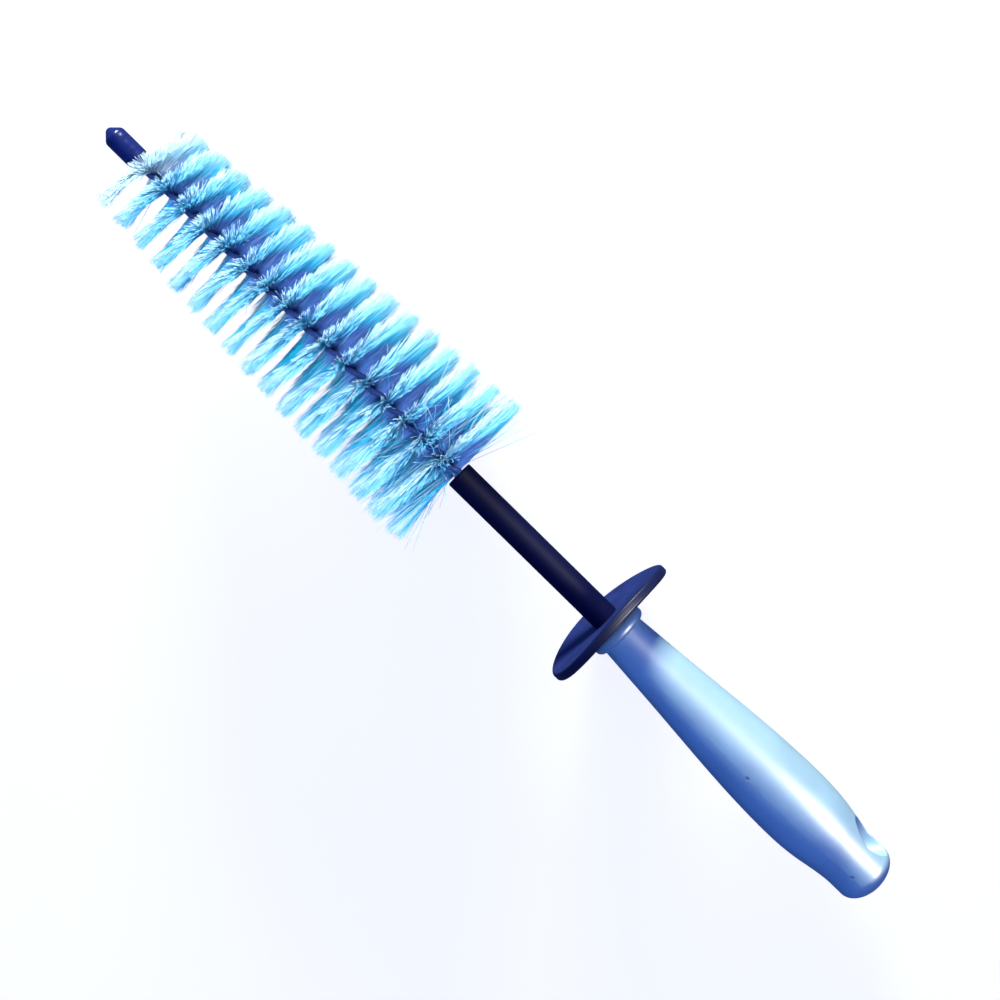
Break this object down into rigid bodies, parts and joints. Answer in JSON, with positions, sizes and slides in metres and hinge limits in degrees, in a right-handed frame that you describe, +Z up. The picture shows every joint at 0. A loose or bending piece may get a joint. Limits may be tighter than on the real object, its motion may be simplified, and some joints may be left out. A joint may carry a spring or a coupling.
{
  "type": "wheel brush",
  "caption": "Tapered twisted-wire wheel cleaning brush with spiral bristles, a sleeved stem, a round rubber splash guard and a hollow hand grip with a hanging hole.",
  "frame": {"origin": "on the floor, under the middle of the brush's length as it lies on the butt of the bristle head and the rim of the guard", "axes": "+X from the tip cap to the handle's end, +Z up; the handle's parting plane is Y = 0 and the brush's own axis slopes 4.1 degrees down towards +X"},
  "size_m": [0.4306, 0.0732, 0.0742],
  "materials": {
    "cap_plastic": "glossy",
    "coated_wire": "satin",
    "bristle": "satin filament",
    "sleeve_tube": "satin",
    "guard_rubber": "matte",
    "handle_plastic": "satin",
    "ferrule_steel": "brushed"
  },
  "bodies": {
    "brush": {"tip_cap": "cap_plastic", "wire_strand_a": "coated_wire", "wire_strand_b": "coated_wire", "bristle_row_01": "bristle", "bristle_row_02": "bristle", "bristle_row_03": "bristle", "bristle_row_04": "bristle", "bristle_row_05": "bristle", "bristle_row_06": "bristle", "bristle_row_07": "bristle", "bristle_row_08": "bristle", "bristle_row_09": "bristle", "bristle_row_10": "bristle", "bristle_row_11": "bristle", "bristle_row_12": "bristle", "bristle_row_13": "bristle", "bristle_row_14": "bristle", "bristle_row_15": "bristle", "bristle_row_16": "bristle", "bristle_row_17": "bristle", "stem_sleeve": "sleeve_tube", "handle_shell_left": "handle_plastic", "handle_shell_right": "handle_plastic", "stem_ferrule": "ferrule_steel"},
    "guard": {"guard_disc": "guard_rubber"}
  },
  "joints": [
    {"name": "guard_spin", "type": "hinge", "parent": "brush", "child": "guard", "pos_m": [0.06183, 0, 0.03083], "axis": [0.9975, 0, -0.0707], "continuous": true}
  ]
}
